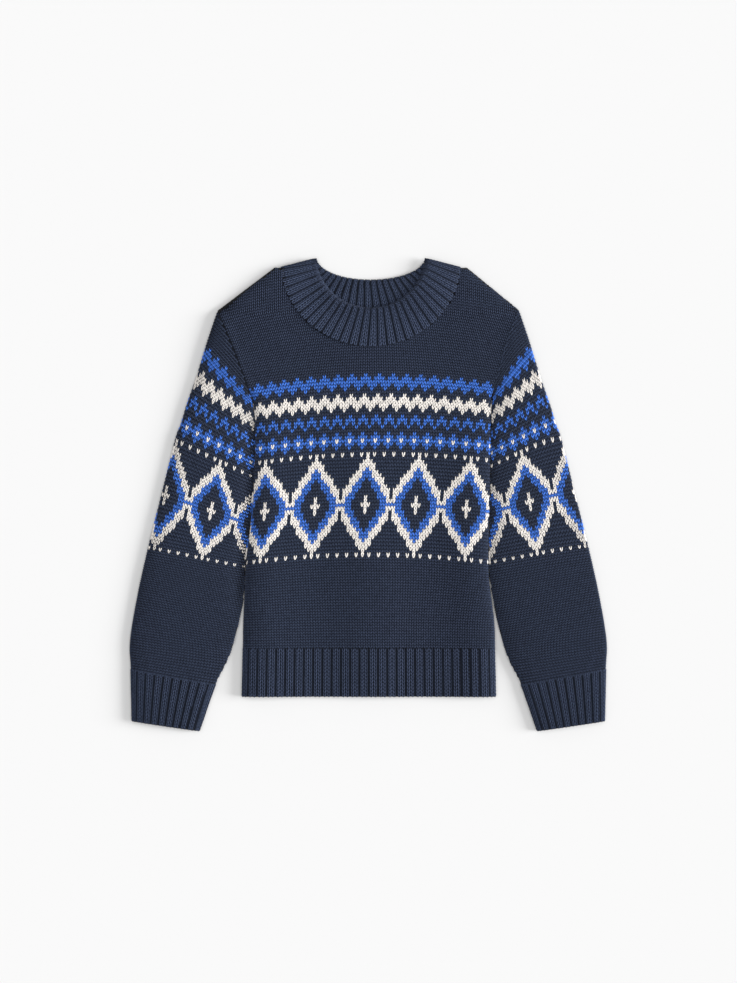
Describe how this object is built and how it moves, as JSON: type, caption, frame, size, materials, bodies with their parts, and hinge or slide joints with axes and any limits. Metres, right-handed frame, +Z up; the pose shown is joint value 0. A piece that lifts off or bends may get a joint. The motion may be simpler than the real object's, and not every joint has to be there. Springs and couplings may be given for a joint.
{
  "type": "fair isle jumper",
  "caption": "Child's chunky-knit fair isle jumper laid flat on its back, sleeves turned down, with ribbed neckband, cuffs and hem.",
  "frame": {"origin": "middle of the laid-out jumper, on the surface that it lies on", "axes": "+Z up out of the jumper's front, +Y towards the neck, +X towards the wearer's left sleeve"},
  "size_m": [0.477, 0.4724, 0.0128],
  "materials": {
    "body_knit": "matte knitted yarn, navy with blue and cream pattern",
    "sleeve_knit": "matte knitted yarn, navy with blue and cream pattern",
    "rib_knit": "matte ribbed knit in navy"
  },
  "bodies": {
    "root": {"front": "body_knit", "back": "body_knit", "sleeve_left": "sleeve_knit", "sleeve_right": "sleeve_knit", "hem_rib_front": "rib_knit", "hem_rib_back": "rib_knit", "cuff_left": "rib_knit", "cuff_right": "rib_knit", "neckband": "rib_knit"}
  },
  "joints": []
}
